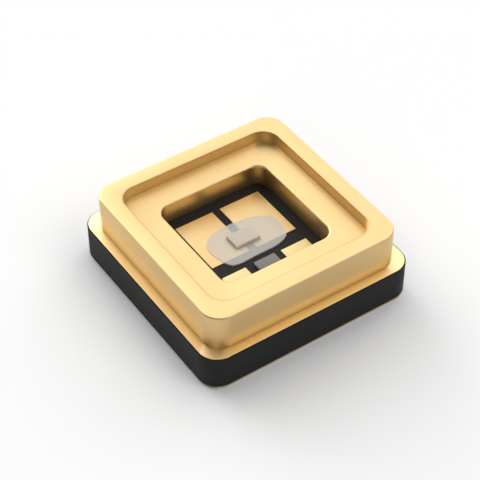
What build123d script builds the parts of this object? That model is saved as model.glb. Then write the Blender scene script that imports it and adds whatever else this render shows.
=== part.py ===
from build123d import *
import os

# Surface-mount UV LED: black ceramic base, gold window frame, flip chip on gold pads.
# Millimetres, +Z up. The origin is the middle of the underside of the solder pads.
# The solder strips run along X. The protection diode lies on the -Y side of the chip.

# Ceramic base
package_width = 3.5
base_thickness = 0.535
base_corner_radius = 0.315
plateau_height = 0.051
plateau_clearance = 0.004

# Gold seal ring on the base, and the frame that stands on it
ring_thickness = 0.012
ring_inset = 0.0185
frame_inset = 0.156
frame_height = 0.588
frame_corner_radius = 0.29
frame_edge_radius = 0.012

# Window recess in the frame's top, and the cavity below it
recess_width = 2.669
recess_depth = 0.2025
recess_corner_radius = 0.275
recess_edge_radius = 0.02
cavity_width = 1.832
cavity_corner_radius = 0.196
cavity_edge_radius = 0.035

# Gold pads on the cavity floor
pad_thickness = 0.012
pad_span = 1.46
chip_pad_back = 0.72
chip_pad_front = -0.255
chip_pad_gap = 0.128
diode_pad_back = -0.5
diode_pad_width = 0.225
diode_pad_gap = 0.612

# LED chip, protection diode and the metal bumps that they stand on
chip_length = 0.41
chip_width = 0.272
chip_height = 0.05
chip_offset = -0.0215
diode_length = 0.355
diode_width = 0.19
diode_height = 0.04
diode_corner_radius = 0.012
bump_height = 0.01
bump_margin = 0.02
bump_gap_margin = 0.005
diode_bump_length = 0.08

# Thin clear coat dispensed round the chip
coat_length = 1.2
coat_width = 0.75
coat_offset_x = 0.013
coat_offset_y = -0.023

# Fired-in conductors between the cavity floor and the solder strips
post_radius = 0.045
trace_width = 0.14
trace_thickness = 0.03
arm_width = 0.1

# Solder pads on the underside
solder_thickness = 0.04
strip_length = 3.2
strip_width = 0.5
strip_inset = 0.01
strip_gap = 0.28
solder_corner_radius = 0.04

# Levels, from the board upwards
base_bottom = solder_thickness
base_top = base_bottom + base_thickness
trace_bottom = base_bottom + (base_thickness - trace_thickness) / 2
trace_top = trace_bottom + trace_thickness
plateau_top = base_top + plateau_height
pad_top = plateau_top + pad_thickness
chip_bottom = pad_top + bump_height
ring_top = base_top + ring_thickness
frame_top = ring_top + frame_height

# Widths and places that follow from the sizes above
ring_width = package_width - 2 * ring_inset
ring_corner_radius = base_corner_radius - ring_inset
frame_width = package_width - 2 * frame_inset
plateau_width = cavity_width - 2 * plateau_clearance
plateau_corner_radius = cavity_corner_radius - plateau_clearance
chip_pad_middle = (chip_pad_back + chip_pad_front) / 2
diode_row = diode_pad_back - diode_pad_width / 2
strip_middle = package_width / 2 - strip_inset - strip_width / 2
thermal_pad_width = 2 * (strip_middle - strip_width / 2 - strip_gap)
solder_limit = package_width - 2 * strip_inset
solder_limit_radius = base_corner_radius - strip_inset
diode_bump_middle = diode_length / 2 - bump_margin - diode_bump_length / 2


def pad_middle(side, gap):
    """Middle, along X, of the left (-1) or right (+1) pad beside a gap centred on the chip."""
    return (side * pad_span / 2 + chip_offset + side * gap / 2) / 2


def pad_length(side, gap):
    """Length, along X, of the left (-1) or right (+1) pad beside that gap."""
    return pad_span / 2 - side * chip_offset - gap / 2


def floor_pad(side, gap, middle_y, width):
    """One gold pad on the cavity floor."""
    with BuildPart() as pad:
        with BuildSketch(Plane.XY.offset(plateau_top)):
            with Locations((pad_middle(side, gap), middle_y)):
                Rectangle(pad_length(side, gap), width)
        extrude(amount=pad_thickness)
    return pad.part


def chip_bump(side):
    """Metal bump under one electrode of the LED chip."""
    inner = chip_pad_gap / 2 + bump_gap_margin
    outer = chip_length / 2 - bump_margin
    with BuildPart() as bump:
        with BuildSketch(Plane.XY.offset(pad_top)):
            with Locations((chip_offset + side * (inner + outer) / 2, 0)):
                Rectangle(outer - inner, chip_width - 2 * bump_margin)
        extrude(amount=bump_height)
    return bump.part


def diode_bump(side):
    """Metal bump under one end of the protection diode."""
    with BuildPart() as bump:
        with BuildSketch(Plane.XY.offset(plateau_top)):
            with Locations((chip_offset + side * diode_bump_middle, diode_row)):
                Rectangle(diode_bump_length, diode_width - 2 * bump_margin)
        extrude(amount=bump_height)
    return bump.part


def feed(side, strip_y):
    """Conductor in the ceramic: a trace at half height with posts up to the floor and down."""
    trunk_x = pad_middle(side, diode_pad_gap)
    bump_x = chip_offset + side * diode_bump_middle
    ends = (chip_pad_middle, diode_row, strip_y)
    low_end = min(ends)
    high_end = max(ends)
    with BuildPart() as conductor:
        with BuildSketch(Plane.XY.offset(trace_bottom)):
            with Locations((trunk_x, (low_end + high_end) / 2)):
                SlotOverall(high_end - low_end + trace_width, trace_width, rotation=90)
            with Locations(((trunk_x + bump_x) / 2, diode_row)):
                SlotOverall(abs(trunk_x - bump_x) + arm_width, arm_width)
        extrude(amount=trace_thickness)
        with BuildSketch(Plane.XY.offset(trace_top)):
            with Locations((trunk_x, chip_pad_middle), (trunk_x, diode_row), (bump_x, diode_row)):
                Circle(post_radius)
        extrude(amount=plateau_top - trace_top)
        with BuildSketch(Plane.XY.offset(base_bottom)):
            with Locations((trunk_x, strip_y)):
                Circle(post_radius)
        extrude(amount=trace_bottom - base_bottom)
    return conductor.part


def solder_pad(middle_y, width):
    """One gold solder pad on the underside, trimmed to stay inside the ceramic's rounded corners."""
    with BuildPart() as pad:
        with BuildSketch():
            with Locations((0, middle_y)):
                RectangleRounded(strip_length, width, solder_corner_radius)
            RectangleRounded(solder_limit, solder_limit, solder_limit_radius, mode=Mode.INTERSECT)
        extrude(amount=solder_thickness)
    return pad.part


# Conductors first, because the ceramic is fired round them
feed_left = feed(-1, -strip_middle)
feed_right = feed(1, strip_middle)

with BuildPart() as ceramic_base:
    with BuildSketch(Plane.XY.offset(base_bottom)):
        RectangleRounded(package_width, package_width, base_corner_radius)
    extrude(amount=base_thickness)
    with BuildSketch(Plane.XY.offset(base_top)):
        RectangleRounded(plateau_width, plateau_width, plateau_corner_radius)
    extrude(amount=plateau_height)
    add(feed_left, mode=Mode.SUBTRACT)
    add(feed_right, mode=Mode.SUBTRACT)

with BuildPart() as seal_ring:
    with BuildSketch(Plane.XY.offset(base_top)):
        RectangleRounded(ring_width, ring_width, ring_corner_radius)
        RectangleRounded(cavity_width, cavity_width, cavity_corner_radius, mode=Mode.SUBTRACT)
    extrude(amount=ring_thickness)

with BuildPart() as frame:
    with BuildSketch(Plane.XY.offset(ring_top)):
        RectangleRounded(frame_width, frame_width, frame_corner_radius)
        RectangleRounded(cavity_width, cavity_width, cavity_corner_radius, mode=Mode.SUBTRACT)
    extrude(amount=frame_height)
    with BuildSketch(Plane.XY.offset(frame_top)):
        RectangleRounded(recess_width, recess_width, recess_corner_radius)
    extrude(amount=-recess_depth, mode=Mode.SUBTRACT)
    rim = frame.faces().sort_by(Axis.Z)[-1]
    seat = frame.faces().filter_by(Plane.XY).group_by(Axis.Z)[-2][0]
    fillet(rim.outer_wire().edges(), radius=frame_edge_radius)
    fillet(rim.inner_wires()[0].edges(), radius=recess_edge_radius)
    fillet(seat.inner_wires()[0].edges(), radius=cavity_edge_radius)

chip_pad_width = chip_pad_back - chip_pad_front
chip_pad_left = floor_pad(-1, chip_pad_gap, chip_pad_middle, chip_pad_width)
chip_pad_right = floor_pad(1, chip_pad_gap, chip_pad_middle, chip_pad_width)
diode_pad_left = floor_pad(-1, diode_pad_gap, diode_row, diode_pad_width)
diode_pad_right = floor_pad(1, diode_pad_gap, diode_row, diode_pad_width)

chip_bump_left = chip_bump(-1)
chip_bump_right = chip_bump(1)
diode_bump_left = diode_bump(-1)
diode_bump_right = diode_bump(1)

with BuildPart() as led_chip:
    with BuildSketch(Plane.XY.offset(chip_bottom)):
        with Locations((chip_offset, 0)):
            Rectangle(chip_length, chip_width)
    extrude(amount=chip_height)

with BuildPart() as protection_diode:
    with BuildSketch(Plane.XY.offset(plateau_top + bump_height)):
        with Locations((chip_offset, diode_row)):
            RectangleRounded(diode_length, diode_width, diode_corner_radius)
    extrude(amount=diode_height)

# Outline of the coat, a free pool: shares of its half length and half width
coat_outline = (
    (-1.0, 0.08),
    (-0.93, 0.51),
    (-0.68, 0.88),
    (-0.2, 1.0),
    (0.35, 0.94),
    (0.74, 0.73),
    (0.97, 0.42),
    (0.99, -0.12),
    (0.88, -0.7),
    (0.5, -0.95),
    (-0.1, -0.98),
    (-0.66, -0.99),
    (-0.88, -0.72),
)
coat_points = [
    (coat_offset_x + across * coat_length / 2, coat_offset_y + along * coat_width / 2)
    for across, along in coat_outline
]

with BuildPart() as chip_coat:
    with BuildSketch(Plane.XY.offset(plateau_top)):
        with BuildLine():
            Spline(*coat_points, periodic=True)
        make_face()
    extrude(amount=chip_bottom - plateau_top)
    for inner_piece in (
        chip_pad_left,
        chip_pad_right,
        chip_bump_left,
        chip_bump_right,
    ):
        add(inner_piece, mode=Mode.SUBTRACT)

solder_strip_front = solder_pad(-strip_middle, strip_width)
solder_strip_back = solder_pad(strip_middle, strip_width)
thermal_pad = solder_pad(0, thermal_pad_width)

pieces = {
    "ceramic_base": ceramic_base.part,
    "seal_ring": seal_ring.part,
    "frame": frame.part,
    "chip_pad_left": chip_pad_left,
    "chip_pad_right": chip_pad_right,
    "diode_pad_left": diode_pad_left,
    "diode_pad_right": diode_pad_right,
    "chip_bump_left": chip_bump_left,
    "chip_bump_right": chip_bump_right,
    "led_chip": led_chip.part,
    "chip_coat": chip_coat.part,
    "diode_bump_left": diode_bump_left,
    "diode_bump_right": diode_bump_right,
    "protection_diode": protection_diode.part,
    "feed_left": feed_left,
    "feed_right": feed_right,
    "solder_strip_front": solder_strip_front,
    "solder_strip_back": solder_strip_back,
    "thermal_pad": thermal_pad,
}

os.makedirs("parts", exist_ok=True)
for name, piece in pieces.items():
    piece.label = name
    export_step(piece, f"parts/{name}.step")
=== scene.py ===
"""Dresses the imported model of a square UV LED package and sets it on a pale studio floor."""

import logging
import math
from collections.abc import Callable, Iterable
from dataclasses import dataclass, field, replace
from enum import Enum
from typing import Any

import bmesh
import bpy
from mathutils import Matrix, Vector


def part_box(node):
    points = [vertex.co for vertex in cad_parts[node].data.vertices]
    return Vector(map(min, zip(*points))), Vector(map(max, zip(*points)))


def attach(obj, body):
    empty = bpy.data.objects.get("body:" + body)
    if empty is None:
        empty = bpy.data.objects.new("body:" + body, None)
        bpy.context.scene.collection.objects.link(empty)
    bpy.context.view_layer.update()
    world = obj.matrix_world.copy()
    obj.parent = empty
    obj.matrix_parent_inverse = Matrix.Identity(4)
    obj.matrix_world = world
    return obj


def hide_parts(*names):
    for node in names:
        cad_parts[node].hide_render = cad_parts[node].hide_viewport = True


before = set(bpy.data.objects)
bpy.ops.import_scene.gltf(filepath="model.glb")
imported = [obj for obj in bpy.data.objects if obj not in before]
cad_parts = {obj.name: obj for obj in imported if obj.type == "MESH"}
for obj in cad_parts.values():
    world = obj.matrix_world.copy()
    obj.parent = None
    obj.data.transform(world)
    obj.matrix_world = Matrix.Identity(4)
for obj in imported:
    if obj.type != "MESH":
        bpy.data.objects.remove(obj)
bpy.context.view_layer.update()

LOG = logging.getLogger("uv_led")
MM = 0.001
TOLERANCE = 2e-7

FRAME_WIDTH = 3.188 * MM
FRAME_RADIUS = 0.29 * MM
FRAME_FOOT = 0.587 * MM
FRAME_TOP = 1.175 * MM
RECESS_WIDTH = 2.669 * MM
RECESS_RADIUS = 0.275 * MM
RECESS_DEPTH = 0.2025 * MM

Colour = tuple[float, float, float]
Point = tuple[float, float]


class Slot(Enum):
    """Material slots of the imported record."""

    CERAMIC = "black_ceramic"
    GOLD = "gold_plating"
    FLOOR_GOLD = "floor_gold"
    SOLDER_GOLD = "solder_gold"
    BUMP = "bump_metal"
    FIRED = "fired_metal"
    CHIP = "chip"
    DIODE = "diode"
    COAT = "coat"


# Shader maths


class Term:
    """A number socket of a node tree that takes part in Python expressions."""

    def __init__(self, sheet: "ShaderSheet", socket: bpy.types.NodeSocket) -> None:
        """Wraps one output socket.

        Args:
            sheet: The node tree that the socket belongs to.
            socket: The output socket.
        """
        self.sheet = sheet
        self.socket = socket

    def _math(self, operation: str, first: "Term | float", second: "Term | float") -> "Term":
        """Adds a Math node.

        Args:
            operation: The node's operation.
            first: First operand.
            second: Second operand.

        Returns:
            The node's result.
        """
        node = self.sheet.node("ShaderNodeMath", {"operation": operation}, {0: first, 1: second})
        return Term(self.sheet, node.outputs[0])

    def __add__(self, other: "Term | float") -> "Term":
        """Returns self + other."""
        return self._math("ADD", self, other)

    def __radd__(self, other: float) -> "Term":
        """Returns other + self."""
        return self._math("ADD", other, self)

    def __sub__(self, other: "Term | float") -> "Term":
        """Returns self - other."""
        return self._math("SUBTRACT", self, other)

    def __rsub__(self, other: float) -> "Term":
        """Returns other - self."""
        return self._math("SUBTRACT", other, self)

    def __mul__(self, other: "Term | float") -> "Term":
        """Returns self * other."""
        return self._math("MULTIPLY", self, other)

    def __rmul__(self, other: float) -> "Term":
        """Returns other * self."""
        return self._math("MULTIPLY", other, self)

    def __pow__(self, other: float) -> "Term":
        """Returns self raised to a power."""
        return self._math("POWER", self, other)

    def exp(self) -> "Term":
        """Returns e raised to self."""
        return self._math("EXPONENT", self, 0.0)

    def sine(self) -> "Term":
        """Returns the sine of self, in radians."""
        return self._math("SINE", self, 0.0)

    def size(self) -> "Term":
        """Returns self without its sign."""
        return self._math("ABSOLUTE", self, 0.0)

    def larger(self, other: "Term | float") -> "Term":
        """Returns the larger of self and other."""
        return self._math("MAXIMUM", self, other)

    def clamp(self, low: float, high: float) -> "Term":
        """Returns self held between two limits."""
        return self._math("MINIMUM", self._math("MAXIMUM", self, low), high)


class ShaderSheet:
    """A node tree that is being filled."""

    def __init__(self, tree: bpy.types.NodeTree) -> None:
        """Empties the tree.

        Args:
            tree: The node tree of a material or of the world.
        """
        self.tree = tree
        tree.nodes.clear()

    def node(
        self,
        kind: str,
        settings: dict[str, Any] | None = None,
        inputs: dict[int | str, Any] | None = None,
    ) -> bpy.types.Node:
        """Adds one node.

        Args:
            kind: The node's type.
            settings: Attributes of the node, set first.
            inputs: Values or links of its input sockets, by name or place.

        Returns:
            The node.
        """
        made = self.tree.nodes.new(kind)
        for name, value in (settings or {}).items():
            setattr(made, name, value)
        for key, value in (inputs or {}).items():
            self._feed(made.inputs[key], value)
        return made

    def _feed(self, socket: bpy.types.NodeSocket, value: Any) -> None:
        """Links or sets one input socket.

        Args:
            socket: The input.
            value: A Term, an output socket, a colour, a vector or a number.
        """
        if isinstance(value, Term):
            self.tree.links.new(value.socket, socket)
        elif isinstance(value, bpy.types.NodeSocket):
            self.tree.links.new(value, socket)
        elif socket.type == "RGBA" and len(value) == 3:
            socket.default_value = (*value, 1.0)
        else:
            socket.default_value = value

    def place(self) -> bpy.types.NodeSocket:
        """Object coordinates, as a vector socket."""
        return self.node("ShaderNodeTexCoord").outputs["Object"]

    def spot(self) -> tuple[Term, ...]:
        """Object coordinates, as three numbers."""
        axes = self.node("ShaderNodeSeparateXYZ", {}, {0: self.place()})
        return tuple(Term(self, axes.outputs[axis]) for axis in "XYZ")

    def noise(self, size: float, detail: float = 2.0) -> Term:
        """Smooth noise on the object's own coordinates.

        Args:
            size: Length of one wave, in metres.
            detail: Octaves of finer noise.

        Returns:
            The noise, about 0.5.
        """
        made = self.node(
            "ShaderNodeTexNoise",
            {},
            {"Vector": self.place(), "Scale": 1.0 / size, "Detail": detail},
        )
        return Term(self, made.outputs[0])

    def blend(self, factor: Term, first: Any, second: Any) -> bpy.types.NodeSocket:
        """Mixes two colours.

        Args:
            factor: Share of the second colour.
            first: Colour or socket.
            second: Colour or socket.

        Returns:
            A colour socket.
        """
        mixer = self.node("ShaderNodeMix", {"data_type": "RGBA"})
        colours = [socket for socket in mixer.inputs if socket.type == "RGBA"]
        self._feed(mixer.inputs[0], factor)
        self._feed(colours[0], first)
        self._feed(colours[1], second)
        return [socket for socket in mixer.outputs if socket.type == "RGBA"][0]

    def direct_look(self) -> Term:
        """Tells rays that look at a surface from rays that gather its light.

        Returns:
            1 for the camera's rays, also reflected or through glass, and 0 for the others.
        """
        rays = self.node("ShaderNodeLightPath")
        kinds = ("Is Camera Ray", "Is Glossy Ray", "Is Transmission Ray")
        first, second, third = (Term(self, rays.outputs[kind]) for kind in kinds)
        return (first + second + third).clamp(0.0, 1.0)

    def relief(self, height: Term, depth: float) -> bpy.types.NodeSocket:
        """Bump from a height.

        Args:
            height: Height between 0 and 1.
            depth: Depth of the relief, in metres.

        Returns:
            A normal socket.
        """
        inputs = {"Height": height, "Distance": depth, "Strength": 1.0}
        return self.node("ShaderNodeBump", {}, inputs).outputs["Normal"]


# Finishes


@dataclass(frozen=True)
class Finish:
    """A surface finish with two near colours, uneven roughness and a fine grain."""

    name: str
    light: Colour
    dark: Colour
    metallic: float
    roughness: float
    roughness_spread: float
    cloud_size: float
    grain_size: float
    grain_depth: float
    specular: float = 0.5
    cloud_contrast: float = 2.2
    patch_share: float = 0.6
    least_roughness: float = 0.05

    def base(self, sheet: ShaderSheet) -> bpy.types.NodeSocket:
        """Base colour: two near tones in soft clouds.

        Args:
            sheet: The material's node tree.

        Returns:
            A colour socket.
        """
        clouds = (sheet.noise(self.cloud_size, 3.0) - 0.5) * self.cloud_contrast + 0.5
        return sheet.blend(clouds.clamp(0.0, 1.0), self.light, self.dark)

    def extra(self, sheet: ShaderSheet, shader: bpy.types.Node) -> None:
        """Adds what only some finishes have."""

    def material(self) -> bpy.types.Material:
        """Builds the material.

        Returns:
            The material, ready to be put on a piece.
        """
        made = bpy.data.materials.new(self.name)
        made.use_nodes = True
        sheet = ShaderSheet(made.node_tree)
        grain = sheet.noise(self.grain_size, 2.0)
        patches = sheet.noise(self.cloud_size * self.patch_share, 2.0)
        rough = (patches - 0.5) * self.roughness_spread + self.roughness
        shader = sheet.node(
            "ShaderNodeBsdfPrincipled",
            {},
            {
                "Base Color": self.base(sheet),
                "Roughness": rough.clamp(self.least_roughness, 1.0),
                "Metallic": self.metallic,
                "Specular IOR Level": self.specular,
                "Normal": sheet.relief(grain, self.grain_depth),
            },
        )
        self.extra(sheet, shader)
        sheet.node("ShaderNodeOutputMaterial", {}, {"Surface": shader.outputs[0]})
        return made


@dataclass(frozen=True)
class CoatFinish(Finish):
    """Milky see-through finish."""

    opacity: float = 0.52
    opacity_spread: float = 0.04

    def extra(self, sheet: ShaderSheet, shader: bpy.types.Node) -> None:
        """Makes the finish see-through, a little unevenly.

        Args:
            sheet: The material's node tree.
            shader: The Principled node.
        """
        cloud = sheet.noise(self.cloud_size, 1.0)
        alpha = (cloud - 0.5) * self.opacity_spread + self.opacity
        sheet.tree.links.new(alpha.socket, shader.inputs["Alpha"])


@dataclass(frozen=True)
class ChipFinish(Finish):
    """Pale crystal with the faint grid of its contacts and a dark layer at its foot."""

    grid_pitch: float = 0.034 * MM
    grid_line: float = 0.16
    grid_sharpness: float = 4.0
    grid_tint: Colour = (0.42, 0.38, 0.31)
    foot_height: float = 0.655 * MM
    foot_depth: float = 0.006 * MM
    foot_tint: Colour = (0.16, 0.12, 0.09)

    def base(self, sheet: ShaderSheet) -> bpy.types.NodeSocket:
        """Base colour with the grid and the foot.

        Args:
            sheet: The material's node tree.

        Returns:
            A colour socket.
        """
        clouds = sheet.noise(self.cloud_size, 2.0).clamp(0.0, 1.0)
        body = sheet.blend(clouds, self.light, self.dark)
        across, along, upward = sheet.spot()
        lines = self._lines(across) + self._lines(along)
        gridded = sheet.blend(lines.clamp(0.0, 1.0) * self.grid_line, body, self.grid_tint)
        foot = ((self.foot_height - upward) * (1.0 / self.foot_depth)).clamp(0.0, 1.0)
        return sheet.blend(foot, gridded, self.foot_tint)

    def _lines(self, position: Term) -> Term:
        """Fine parallel lines.

        Args:
            position: Distance across the lines.

        Returns:
            1 on a line and 0 between lines.
        """
        wave = (position * (2.0 * math.pi / self.grid_pitch)).sine()
        return (wave * self.grid_sharpness - (self.grid_sharpness - 1.0)).clamp(0.0, 1.0)


@dataclass(frozen=True)
class ShadePaintedGold(Finish):
    """Gold with painted shade: dark lines round the frame's foot, along the recess's top edge and
    at the seat, and a darker outer wall.
    """

    # Colour of the painted shade, used for the dark lines and for the darker outer wall.
    painted_shade_tint: Colour = (0.33, 0.21, 0.09)
    foot_shade_share: float = 0.5
    foot_shade_reach: float = 0.08 * MM
    edge_shade_share: float = 0.0
    edge_shade_reach: float = 0.012 * MM
    seat_shade_share: float = 0.0
    seat_shade_reach: float = 0.05 * MM
    wall_shade_share: float = 0.0
    wall_shade_fade: float = 0.02 * MM
    corner_fade: float = 1.4

    def base(self, sheet: ShaderSheet) -> bpy.types.NodeSocket:
        """Base colour with painted shade: dark lines at the frame's foot, the recess's top edge and
        the seat, and a darker outer wall.

        Args:
            sheet: The material's node tree.

        Returns:
            A colour socket.
        """
        spot = sheet.spot()
        off_wall = self._off_outline(spot, FRAME_WIDTH / 2, FRAME_RADIUS)
        off_recess = self._off_outline(spot, RECESS_WIDTH / 2, RECESS_RADIUS)
        # Painted shade: lines darkened at the frame's foot, along the recess's top edge and at the
        # seat, faded at the corners, plus a darker outer wall.
        joint = self._line(off_wall, spot[2] - FRAME_FOOT, self.foot_shade_reach)
        edge = self._line(off_recess, spot[2] - FRAME_TOP, self.edge_shade_reach)
        seat = self._line(off_recess, spot[2] - (FRAME_TOP - RECESS_DEPTH), self.seat_shade_reach)
        wall = ((self.wall_shade_fade - off_wall) * (1.0 / self.wall_shade_fade)).clamp(0.0, 1.0)
        lines = joint * self.foot_shade_share + edge * self.edge_shade_share + seat * self.seat_shade_share
        share = lines * self._off_corner(spot) + wall * self.wall_shade_share
        return sheet.blend(share.clamp(0.0, 1.0), super().base(sheet), self.painted_shade_tint)

    def _off_corner(self, spot: tuple[Term, ...]) -> Term:
        """Share of a line that is left, from 1 along the sides to 0 at the middle of each corner.

        Args:
            spot: The point's X, Y and Z.

        Returns:
            The share that is left.
        """
        off_x, off_y = spot[0].size(), spot[1].size()
        nearer = off_x + off_y - off_x.larger(off_y)
        turned = (nearer - (FRAME_WIDTH / 2 - FRAME_RADIUS)) * (1.0 / FRAME_RADIUS)
        return (1.0 - turned * self.corner_fade).clamp(0.0, 1.0)

    @staticmethod
    def _off_outline(spot: tuple[Term, ...], half: float, radius: float) -> Term:
        """Level distance from a centred square outline with round corners.

        Args:
            spot: The point's X, Y and Z.
            half: Half the square's width.
            radius: Radius of its corners.

        Returns:
            The distance, never negative.
        """
        over_x, over_y = ((axis.size() - (half - radius)).larger(0.0) for axis in spot[:2])
        return ((over_x**2 + over_y**2) ** 0.5 - radius).size()

    @staticmethod
    def _line(level: Term, upright: Term, reach: float) -> Term:
        """1 on a line, falling off around it.

        Args:
            level: Level distance from the line.
            upright: Upright distance from the line.
            reach: Distance over which it falls off.

        Returns:
            The line's strength.
        """
        return ((level**2 + upright**2) ** 0.5 * (-1.0 / reach)).exp()


# Frame gold with painted shade: a dark line at its foot, along the recess's top edge and at the
# seat, and a darker outer wall.
GOLD = ShadePaintedGold(
    name="satin gold plating",
    light=(0.84, 0.615, 0.3),
    dark=(0.815, 0.59, 0.285),
    metallic=1.0,
    roughness=0.42,
    roughness_spread=0.05,
    cloud_size=0.9 * MM,
    grain_size=0.012 * MM,
    grain_depth=0.00006 * MM,
    wall_shade_share=0.22,
    edge_shade_share=0.8,
    seat_shade_share=0.35,
)
# Ring gold, set lighter than the frame's gold to paint more light on the flange, with a painted
# shade line where it meets the frame's foot.
RING_GOLD = ShadePaintedGold(
    name="bright gold ring",
    light=(1.0, 0.77, 0.41),
    dark=(0.98, 0.75, 0.395),
    metallic=1.0,
    roughness=0.4,
    roughness_spread=0.05,
    cloud_size=0.9 * MM,
    grain_size=0.012 * MM,
    grain_depth=0.00006 * MM,
    foot_shade_share=0.45,
    foot_shade_reach=0.03 * MM,
)
FLOOR_GOLD = Finish(
    name="gold pads",
    light=(0.775, 0.56, 0.275),
    dark=(0.75, 0.54, 0.26),
    metallic=1.0,
    roughness=0.42,
    roughness_spread=0.05,
    cloud_size=0.3 * MM,
    grain_size=0.01 * MM,
    grain_depth=0.00006 * MM,
)
SMALL_PAD_GOLD = replace(
    FLOOR_GOLD,
    name="pale gold pads",
    light=(0.755, 0.61, 0.305),
    dark=(0.73, 0.588, 0.29),
)
# Solder pad gold, made darker and less saturated to paint the shade on the strips' sides.
SOLDER_GOLD = Finish(
    name="gold solder pads",
    light=(0.72, 0.57, 0.36),
    dark=(0.66, 0.52, 0.32),
    metallic=1.0,
    roughness=0.38,
    roughness_spread=0.1,
    cloud_size=0.5 * MM,
    grain_size=0.02 * MM,
    grain_depth=0.0003 * MM,
)
CERAMIC = Finish(
    name="black ceramic",
    light=(0.0225, 0.022, 0.0215),
    dark=(0.0192, 0.0188, 0.0183),
    metallic=0.0,
    roughness=0.6,
    roughness_spread=0.08,
    cloud_size=0.4 * MM,
    grain_size=0.012 * MM,
    grain_depth=0.0004 * MM,
    specular=0.15,
)
CHIP = ChipFinish(
    name="pale chip",
    light=(0.655, 0.592, 0.487),
    dark=(0.625, 0.563, 0.462),
    metallic=0.0,
    roughness=0.45,
    roughness_spread=0.05,
    cloud_size=0.08 * MM,
    grain_size=0.01 * MM,
    grain_depth=0.0002 * MM,
)
DIODE = Finish(
    name="grey diode",
    light=(0.215, 0.206, 0.19),
    dark=(0.193, 0.186, 0.173),
    metallic=0.0,
    roughness=0.5,
    roughness_spread=0.06,
    cloud_size=0.1 * MM,
    grain_size=0.01 * MM,
    grain_depth=0.0003 * MM,
)
COAT = CoatFinish(
    name="milky coat",
    light=(0.895, 0.885, 0.84),
    dark=(0.875, 0.865, 0.82),
    metallic=0.0,
    roughness=0.5,
    roughness_spread=0.05,
    cloud_size=0.4 * MM,
    grain_size=0.03 * MM,
    grain_depth=0.0003 * MM,
    specular=0.2,
)
BUMP = Finish(
    name="joint metal",
    light=(0.8, 0.68, 0.45),
    dark=(0.7, 0.58, 0.38),
    metallic=1.0,
    roughness=0.45,
    roughness_spread=0.1,
    cloud_size=0.05 * MM,
    grain_size=0.008 * MM,
    grain_depth=0.0003 * MM,
)
FIRED = Finish(
    name="fired metal",
    light=(0.42, 0.42, 0.43),
    dark=(0.34, 0.34, 0.35),
    metallic=0.8,
    roughness=0.6,
    roughness_spread=0.1,
    cloud_size=0.08 * MM,
    grain_size=0.008 * MM,
    grain_depth=0.0004 * MM,
)


# Outlines and edit-mode work


@dataclass(frozen=True)
class Outline:
    """A rectangle with round corners, seen from above."""

    width: float
    depth: float
    radius: float
    middle: Point = (0.0, 0.0)

    def distance(self, x: float, y: float) -> float:
        """Distance from the outline.

        Args:
            x: Place along X.
            y: Place along Y.

        Returns:
            The distance, negative inside.
        """
        over_x = abs(x - self.middle[0]) - self.width / 2 + self.radius
        over_y = abs(y - self.middle[1]) - self.depth / 2 + self.radius
        outside = math.hypot(max(over_x, 0.0), max(over_y, 0.0))
        return outside + min(max(over_x, over_y), 0.0) - self.radius


def square(width: float, radius: float) -> Outline:
    """Outline of a centred square with round corners."""
    return Outline(width, width, radius)


@dataclass(frozen=True)
class Loop:
    """An outline at one height."""

    outline: Outline
    height: float

    def holds(self, place: Vector) -> bool:
        """Tells whether a point lies on this loop."""
        level = abs(place.z - self.height) < TOLERANCE
        return level and abs(self.outline.distance(place.x, place.y)) < TOLERANCE


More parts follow.
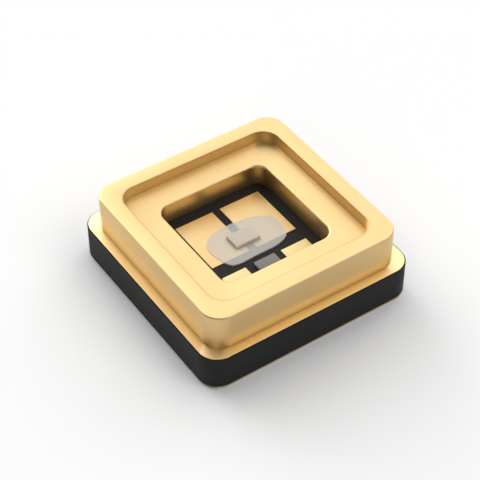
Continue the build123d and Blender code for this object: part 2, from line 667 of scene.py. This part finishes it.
class Bench:
    """Edit-mode work on one mesh object that sits at the origin."""

    hold_apart = 2.0 * MM

    def __init__(self, name: str, corner_steps: int = 16) -> None:
        """Makes an empty mesh object and enters edit mode.

        Args:
            name: The piece's name.
            corner_steps: Straight steps in each round corner.
        """
        if bpy.context.mode != "OBJECT":
            bpy.ops.object.mode_set(mode="OBJECT")
        bpy.ops.object.select_all(action="DESELECT")
        self.piece = bpy.data.objects.new(name, bpy.data.meshes.new(name))
        bpy.context.scene.collection.objects.link(self.piece)
        bpy.context.view_layer.objects.active = self.piece
        self.piece.select_set(True)
        self.corner_steps = corner_steps
        bpy.ops.object.mode_set(mode="EDIT")

    def pick(self, kind: str, test: Callable[[Any], bool]) -> int:
        """Selects the elements that pass a test, and nothing else.

        Args:
            kind: VERT, EDGE or FACE.
            test: Takes a bmesh element.

        Returns:
            How many were selected.
        """
        bpy.ops.mesh.select_mode(type=kind)
        bpy.ops.mesh.select_all(action="DESELECT")
        work = bmesh.from_edit_mesh(self.piece.data)
        group = {"VERT": work.verts, "EDGE": work.edges, "FACE": work.faces}[kind]
        chosen = [element for element in group if test(element)]
        for element in chosen:
            element.select_set(True)
        bmesh.update_edit_mesh(self.piece.data)
        return len(chosen)

    def pick_loops(self, *loops: Loop) -> int:
        """Selects the edges of some loops.

        Args:
            *loops: The loops.

        Returns:
            How many edges were selected.
        """
        return self.pick(
            "EDGE",
            lambda edge: any(all(loop.holds(v.co) for v in edge.verts) for loop in loops),
        )

    def add_loop(self, loop: Loop) -> None:
        """Adds a loop of edges with no face.

        Args:
            loop: Where it runs.
        """
        outline = loop.outline
        centre = (*outline.middle, loop.height)
        bpy.ops.mesh.select_mode(type="VERT")
        bpy.ops.mesh.select_all(action="DESELECT")
        bpy.ops.mesh.primitive_plane_add(size=1.0 * MM, location=centre)
        bpy.ops.transform.resize(
            value=(outline.width / MM, outline.depth / MM, 1.0),
            center_override=centre,
        )
        bpy.ops.mesh.bevel(
            affect="VERTICES",
            offset=outline.radius,
            segments=self.corner_steps,
            profile=0.5,
            clamp_overlap=False,
        )
        self.pick("FACE", lambda face: all(loop.holds(v.co) for v in face.verts))
        bpy.ops.mesh.delete(type="ONLY_FACE")

    def lift(self, loop: Loop, rise: float) -> Loop:
        """Moves a loop up or down.

        Args:
            loop: Where it is.
            rise: How far it goes up.

        Returns:
            Where it is then.
        """
        self.pick_loops(loop)
        bpy.ops.transform.translate(value=(0.0, 0.0, rise))
        return Loop(loop.outline, loop.height + rise)

    def join_loops(self, first: Loop, second: Loop) -> None:
        """Bridges two loops with faces; level loops are held apart while they are bridged.

        Args:
            first: One loop, which stays where it is.
            second: The other loop, which ends where it started.
        """
        rise = self.hold_apart if abs(first.height - second.height) < TOLERANCE else 0.0
        raised = self.lift(second, rise)
        self.pick_loops(first, raised)
        bpy.ops.mesh.bridge_edge_loops()
        self.lift(raised, -rise)

    def cap(self, loop: Loop) -> None:
        """Closes a loop with one flat face."""
        self.pick_loops(loop)
        bpy.ops.mesh.edge_face_add()

    def round_edge(self, loop: Loop, radius: float, steps: int = 4) -> None:
        """Rounds the edges of a loop.

        Args:
            loop: The loop of sharp edges.
            radius: Radius of the rounding.
            steps: Straight steps across it.
        """
        self.pick_loops(loop)
        bpy.ops.mesh.bevel(
            affect="EDGES",
            offset=radius,
            segments=steps,
            profile=0.5,
            clamp_overlap=False,
        )

    def tube(self, loops: Iterable[Loop]) -> None:
        """Bridges loops in order, and the last to the first.

        Args:
            loops: The loops, round the wall's section.
        """
        ring = list(loops)
        for loop in ring:
            self.add_loop(loop)
        for first, second in zip(ring, ring[1:] + ring[:1]):
            self.join_loops(first, second)

    def stack(self, loops: Iterable[Loop]) -> None:
        """Bridges loops in order and closes the first and the last.

        Args:
            loops: The loops, from one end to the other.
        """
        pile = list(loops)
        for loop in pile:
            self.add_loop(loop)
        for first, second in zip(pile, pile[1:]):
            self.join_loops(first, second)
        self.cap(pile[0])
        self.cap(pile[-1])

    def finish(self, smooth_angle: float = 35.0) -> bpy.types.Object:
        """Turns the faces outwards, smooths the shading and leaves edit mode.

        Args:
            smooth_angle: Edges sharper than this stay sharp, in degrees.

        Returns:
            The finished piece.
        """
        bpy.ops.mesh.select_mode(type="FACE")
        bpy.ops.mesh.select_all(action="SELECT")
        bpy.ops.mesh.normals_make_consistent(inside=False)
        bpy.ops.object.mode_set(mode="OBJECT")
        bpy.ops.object.shade_smooth_by_angle(angle=math.radians(smooth_angle))
        weighted = self.piece.modifiers.new("flat faces", "WEIGHTED_NORMAL")
        weighted.keep_sharp = True
        bpy.ops.object.modifier_apply(modifier=weighted.name)
        return self.piece


@dataclass
class SubAssembly:
    """What every sub-assembly of the package does."""

    pieces: list[bpy.types.Object] = field(default_factory=list, init=False)

    def stand_for(self, piece: bpy.types.Object, node: str, finish: Finish, slot: Slot) -> None:
        """Puts a piece in the place of a CAD node.

        Args:
            piece: The finished piece.
            node: The CAD node that it replaces.
            finish: Its surface finish.
            slot: The record's material slot; not used.
        """
        piece.data.materials.clear()
        piece.data.materials.append(material_of(finish))
        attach(piece, "root")
        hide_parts(node)
        self.pieces.append(piece)


MATERIALS: dict[str, bpy.types.Material] = {}


def material_of(finish: Finish) -> bpy.types.Material:
    """Material of a finish, made once.

    Args:
        finish: The finish.

    Returns:
        The material.
    """
    if finish.name not in MATERIALS:
        MATERIALS[finish.name] = finish.material()
    return MATERIALS[finish.name]


def span(node: str) -> tuple[Vector, Vector]:
    """Lowest and highest corner of a CAD node, in metres."""
    low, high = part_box(node)
    return Vector(low), Vector(high)


# Sub-assemblies


@dataclass
class CeramicBase(SubAssembly):
    """The black ceramic block with the plateau that is the cavity floor."""

    corner_radius: float = 0.315 * MM
    edge_radius: float = 0.006 * MM
    plateau_width: float = 1.824 * MM
    plateau_radius: float = 0.192 * MM

    def build(self) -> None:
        """Models the block and dresses it."""
        low, high = span("ceramic_base")
        ring_low, _ = span("seal_ring")
        outer = square(high.x - low.x, self.corner_radius)
        plateau = square(self.plateau_width, self.plateau_radius)
        bottom = Loop(outer, low.z)
        shoulder = Loop(outer, ring_low.z)
        bench = Bench("ceramic_body")
        bench.stack((bottom, shoulder, Loop(plateau, ring_low.z), Loop(plateau, high.z)))
        for loop in (bottom, shoulder):
            bench.round_edge(loop, self.edge_radius, steps=3)
        self.stand_for(bench.finish(), "ceramic_base", CERAMIC, Slot.CERAMIC)


@dataclass
class SealRing(SubAssembly):
    """The thin gold ring between the ceramic and the frame."""

    corner_radius: float = 0.2965 * MM
    edge_radius: float = 0.006 * MM

    def build(self, cavity: Outline) -> None:
        """Models the ring and dresses it.

        Args:
            cavity: The frame's cavity, which the ring also has.
        """
        low, high = span("seal_ring")
        outer = square(high.x - low.x, self.corner_radius)
        rim = Loop(outer, high.z)
        bench = Bench("seal_ring_plate")
        bench.tube((Loop(outer, low.z), rim, Loop(cavity, high.z), Loop(cavity, low.z)))
        bench.round_edge(rim, self.edge_radius, steps=3)
        self.stand_for(bench.finish(), "seal_ring", RING_GOLD, Slot.GOLD)


@dataclass
class WindowFrame(SubAssembly):
    """The gold frame with its window recess and its cavity."""

    corner_radius: float = FRAME_RADIUS
    edge_radius: float = 0.025 * MM
    recess_width: float = RECESS_WIDTH
    recess_depth: float = RECESS_DEPTH
    recess_radius: float = RECESS_RADIUS
    recess_edge: float = 0.008 * MM
    recess_foot: float = 0.008 * MM
    cavity_width: float = 1.832 * MM
    cavity_radius: float = 0.196 * MM
    cavity_edge: float = 0.035 * MM

    @property
    def cavity(self) -> Outline:
        """Outline of the cavity."""
        return square(self.cavity_width, self.cavity_radius)

    def build(self) -> None:
        """Models the frame and dresses it."""
        low, high = span("frame")
        outer = square(high.x - low.x, self.corner_radius)
        recess = square(self.recess_width, self.recess_radius)
        seat = high.z - self.recess_depth
        top = Loop(outer, high.z)
        recess_top = Loop(recess, high.z)
        recess_foot = Loop(recess, seat)
        cavity_top = Loop(self.cavity, seat)
        bench = Bench("window_frame", corner_steps=20)
        bench.tube(
            (
                Loop(outer, low.z),
                top,
                recess_top,
                recess_foot,
                cavity_top,
                Loop(self.cavity, low.z),
            )
        )
        bench.round_edge(top, self.edge_radius, steps=6)
        bench.round_edge(recess_top, self.recess_edge)
        bench.round_edge(recess_foot, self.recess_foot)
        bench.round_edge(cavity_top, self.cavity_edge, steps=6)
        self.stand_for(bench.finish(), "frame", GOLD, Slot.GOLD)


@dataclass
class Plates(SubAssembly):
    """Flat plates and blocks that each stand for one CAD node."""

    corner_radius: float = 0.006 * MM
    edge_radius: float = 0.003 * MM

    def plate(self, node: str, finish: Finish, slot: Slot, corner_radius: float) -> None:
        """Models a plate with eased corners and top edges in the place of a node.

        Args:
            node: The CAD node.
            finish: Surface finish.
            slot: The record's material slot.
            corner_radius: Radius of its upright corners.
        """
        low, high = span(node)
        middle = ((low.x + high.x) / 2, (low.y + high.y) / 2)
        outline = Outline(high.x - low.x, high.y - low.y, corner_radius, middle)
        top = Loop(outline, high.z)
        bench = Bench(f"{node}_plate", corner_steps=4)
        bench.stack((Loop(outline, low.z), top))
        bench.round_edge(top, self.edge_radius, steps=3)
        self.stand_for(bench.finish(), node, finish, slot)


@dataclass
class FloorPads(Plates):
    """The four gold pads on the cavity floor."""

    def build(self) -> None:
        """Models and dresses the pads."""
        for part, finish in (("chip", FLOOR_GOLD), ("diode", SMALL_PAD_GOLD)):
            for side in ("left", "right"):
                self.plate(f"{part}_pad_{side}", finish, Slot.FLOOR_GOLD, self.corner_radius)


@dataclass
class Dice(Plates):
    """The LED chip and the protection diode."""

    diode_corner: float = 0.012 * MM

    def build(self) -> None:
        """Models and dresses both blocks."""
        self.plate("led_chip", CHIP, Slot.CHIP, self.corner_radius)
        self.plate("protection_diode", DIODE, Slot.DIODE, self.diode_corner)


@dataclass
class ChipCoat(SubAssembly):
    """The thin milky pool round the chip."""

    rim_points: int = 96
    smooth_angle: float = 60.0
    edge_drop: float = 0.004 * MM
    sink: float = 0.0005 * MM
    shares: tuple[Point, ...] = (
        (-1.0, 0.08),
        (-0.93, 0.51),
        (-0.68, 0.88),
        (-0.2, 1.0),
        (0.35, 0.94),
        (0.74, 0.73),
        (0.97, 0.42),
        (0.99, -0.12),
        (0.88, -0.7),
        (0.5, -0.95),
        (-0.1, -0.98),
        (-0.66, -0.99),
        (-0.88, -0.72),
    )
    half_length: float = 0.6 * MM
    half_width: float = 0.375 * MM
    middle: Point = (0.013 * MM, -0.023 * MM)

    def rim(self, turn: float) -> Point:
        """Point on the pool's outline.

        Args:
            turn: Place along the outline, from 0 to 1.

        Returns:
            The point, in metres.
        """
        count = len(self.shares)
        place = turn * count
        start = int(place) % count
        step = place - int(place)
        near = [self.shares[(start + shift) % count] for shift in (-1, 0, 1, 2)]
        x, y = (self._between([point[axis] for point in near], step) for axis in (0, 1))
        return (self.middle[0] + x * self.half_length, self.middle[1] + y * self.half_width)

    @staticmethod
    def _between(values: list[float], step: float) -> float:
        """Smooth curve through four values, between the middle two.

        Args:
            values: Four values in order.
            step: Share of the way from the second to the third.

        Returns:
            The value there.
        """
        before, here, there, after = values
        slope_here = (there - before) / 2
        slope_there = (after - here) / 2
        square_step = step * step
        cube_step = square_step * step
        return (
            (2 * cube_step - 3 * square_step + 1) * here
            + (cube_step - 2 * square_step + step) * slope_here
            + (3 * square_step - 2 * cube_step) * there
            + (cube_step - square_step) * slope_there
        )

    def build(self) -> None:
        """Models the pool and dresses it."""
        low, high = span("chip_coat")
        bench = Bench("milky_pool")
        bpy.ops.mesh.primitive_circle_add(
            vertices=self.rim_points,
            radius=self.half_width,
            fill_type="NGON",
            location=(*self.middle, low.z - self.sink),
        )
        self._shape_rim(bench)
        bpy.ops.mesh.select_all(action="SELECT")
        rise = high.z - low.z + self.sink
        bpy.ops.mesh.extrude_region_move(
            TRANSFORM_OT_translate={"value": (0.0, 0.0, rise)}
        )
        edge = high.z - TOLERANCE
        bench.pick("EDGE", lambda line: all(v.co.z > edge for v in line.verts))
        bpy.ops.mesh.bevel(
            affect="EDGES", offset=self.edge_drop, segments=4, profile=0.5, clamp_overlap=False
        )
        self.stand_for(bench.finish(self.smooth_angle), "chip_coat", COAT, Slot.COAT)

    def _shape_rim(self, bench: Bench) -> None:
        """Moves the circle's points on to the pool's outline.

        Args:
            bench: The bench that holds the circle.
        """
        work = bmesh.from_edit_mesh(bench.piece.data)
        centre = Vector(self.middle)
        order = sorted(
            work.verts,
            key=lambda v: math.atan2(v.co.y - centre.y, centre.x - v.co.x),
        )
        for place, vertex in enumerate(order):
            vertex.co.x, vertex.co.y = self.rim(place / len(order))
        bmesh.update_edit_mesh(bench.piece.data)


@dataclass
class CarriedNodes:
    """CAD nodes that keep their own mesh and get a finish."""

    finishes: dict[str, Finish] = field(
        default_factory=lambda: {
            "chip_bump_left": BUMP,
            "chip_bump_right": BUMP,
            "diode_bump_left": BUMP,
            "diode_bump_right": BUMP,
            "feed_left": FIRED,
            "feed_right": FIRED,
            "solder_strip_front": SOLDER_GOLD,
            "solder_strip_back": SOLDER_GOLD,
            "thermal_pad": SOLDER_GOLD,
        }
    )

    def build(self) -> None:
        """Dresses each node."""
        for node, finish in self.finishes.items():
            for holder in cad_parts[node].material_slots:
                holder.material = material_of(finish)
            LOG.info("%s: %s", type(self).__name__, node)


# Studio


@dataclass(frozen=True)
class SoftLight:
    """One bright patch of the sky with soft sides."""

    name: str
    azimuth: float
    elevation: float
    level: float
    tightness: float

    @property
    def aim(self) -> Colour:
        """Unit vector towards the middle of the patch, azimuth counted from +X to +Y."""
        turn = math.radians(self.azimuth)
        tilt = math.radians(self.elevation)
        return (math.cos(turn) * math.cos(tilt), math.sin(turn) * math.cos(tilt), math.sin(tilt))

    def glow(self, sheet: ShaderSheet, direction: bpy.types.NodeSocket) -> Term:
        """Light that the patch sends from each direction.

        Args:
            sheet: The world's node tree.
            direction: Direction of the sky that is looked at.

        Returns:
            The light's level there.
        """
        facing = sheet.node(
            "ShaderNodeVectorMath", {"operation": "DOT_PRODUCT"}, {0: direction, 1: self.aim}
        )
        return ((Term(sheet, facing.outputs["Value"]) - 1.0) * self.tightness).exp() * self.level


@dataclass(frozen=True)
class Studio:
    """Pale floor under a sky with a few soft bright patches."""

    floor_size: float = 400.0 * MM
    floor_colour: Colour = (0.86, 0.86, 0.86)
    seen_floor: Colour = (1.0, 1.0, 1.0)
    sky_level: float = 0.1
    lights: tuple[SoftLight, ...] = (
        SoftLight("window behind", azimuth=90.0, elevation=13.0, level=4.7, tightness=12.0),
        SoftLight("window to the right", azimuth=20.0, elevation=25.0, level=2.15, tightness=12.0),
        SoftLight("left box behind", azimuth=108.0, elevation=37.0, level=1.98, tightness=12.0),
        SoftLight("high box behind", azimuth=56.0, elevation=62.0, level=1.0, tightness=20.0),
        SoftLight("high box to the right", azimuth=0.0, elevation=62.0, level=0.75, tightness=12.0),
        SoftLight("front right box", azimuth=304.0, elevation=44.0, level=2.9, tightness=26.0),
        SoftLight("front corner box", azimuth=216.0, elevation=32.0, level=1.2, tightness=26.0),
    )

    def build(self) -> None:
        """Makes the floor and the world."""
        self._floor()
        self._world()

    def _floor(self) -> None:
        """Lays the floor under the solder pads."""
        bpy.ops.object.select_all(action="DESELECT")
        bpy.ops.mesh.primitive_plane_add(size=self.floor_size)
        floor = bpy.context.object
        floor.name = "studio_floor"
        surface = bpy.data.materials.new("pale floor")
        surface.use_nodes = True
        sheet = ShaderSheet(surface.node_tree)
        tone = sheet.blend(sheet.direct_look(), self.floor_colour, self.seen_floor)
        matt = sheet.node("ShaderNodeBsdfDiffuse", {}, {"Color": tone})
        sheet.node("ShaderNodeOutputMaterial", {}, {"Surface": matt.outputs[0]})
        floor.data.materials.append(surface)

    def _world(self) -> None:
        """Lights the scene from the sky."""
        world = bpy.data.worlds.new("soft studio")
        world.use_nodes = True
        bpy.context.scene.world = world
        sheet = ShaderSheet(world.node_tree)
        direction = sheet.node("ShaderNodeTexCoord").outputs["Generated"]
        level = sum((light.glow(sheet, direction) for light in self.lights), self.sky_level)
        sky = sheet.node("ShaderNodeBackground", {}, {"Color": (1.0, 1.0, 1.0), "Strength": level})
        sheet.node("ShaderNodeOutputWorld", {}, {"Surface": sky.outputs[0]})


@dataclass(frozen=True)
class Viewpoint:
    """The camera that saw the package."""

    azimuth: float = -34.2793
    elevation: float = 44.1511
    distance: float = 22.4516 * MM
    aim_right: float = -0.0661 * MM
    aim_up: float = 0.3998 * MM
    focal_length: float = 114.1365
    sensor_width: float = 36.0
    aim_height: float = 0.04 * MM
    nearest: float = 1.0 * MM
    farthest: float = 1.0

    def build(self) -> None:
        """Makes the camera."""
        turn = math.radians(self.azimuth)
        tilt = math.radians(self.elevation)
        back = Vector(
            (
                math.sin(turn) * math.cos(tilt),
                -math.cos(turn) * math.cos(tilt),
                math.sin(tilt),
            )
        )
        right = Vector((math.cos(turn), math.sin(turn), 0.0))
        up = back.cross(right)
        lens = bpy.data.cameras.new("viewpoint")
        lens.lens = self.focal_length
        lens.sensor_width = self.sensor_width
        lens.clip_start = self.nearest
        lens.clip_end = self.farthest
        camera = bpy.data.objects.new("viewpoint", lens)
        bpy.context.scene.collection.objects.link(camera)
        rest = right * self.aim_right + up * self.aim_up + back * self.distance
        rest.z += self.aim_height
        turned = Matrix((right, up, back)).transposed()
        camera.matrix_world = Matrix.Translation(rest) @ turned.to_4x4()
        bpy.context.scene.camera = camera


def main() -> None:
    """Builds every sub-assembly, then the studio and the camera."""
    logging.basicConfig(level=logging.INFO, format="%(message)s")
    window_frame = WindowFrame()
    assemblies: list[tuple[SubAssembly, tuple[Any, ...]]] = [
        (CeramicBase(), ()),
        (SealRing(), (window_frame.cavity,)),
        (window_frame, ()),
        (FloorPads(), ()),
        (Dice(), ()),
        (ChipCoat(), ()),
    ]
    for assembly, needs in assemblies:
        assembly.build(*needs)
        for piece in assembly.pieces:
            faces = len(piece.data.polygons)
            LOG.info("%s: %s, %d faces", type(assembly).__name__, piece.name, faces)
    CarriedNodes().build()
    Studio().build()
    Viewpoint().build()
    bpy.context.scene.view_settings.view_transform = "Standard"


if __name__ == "__main__":
    main()
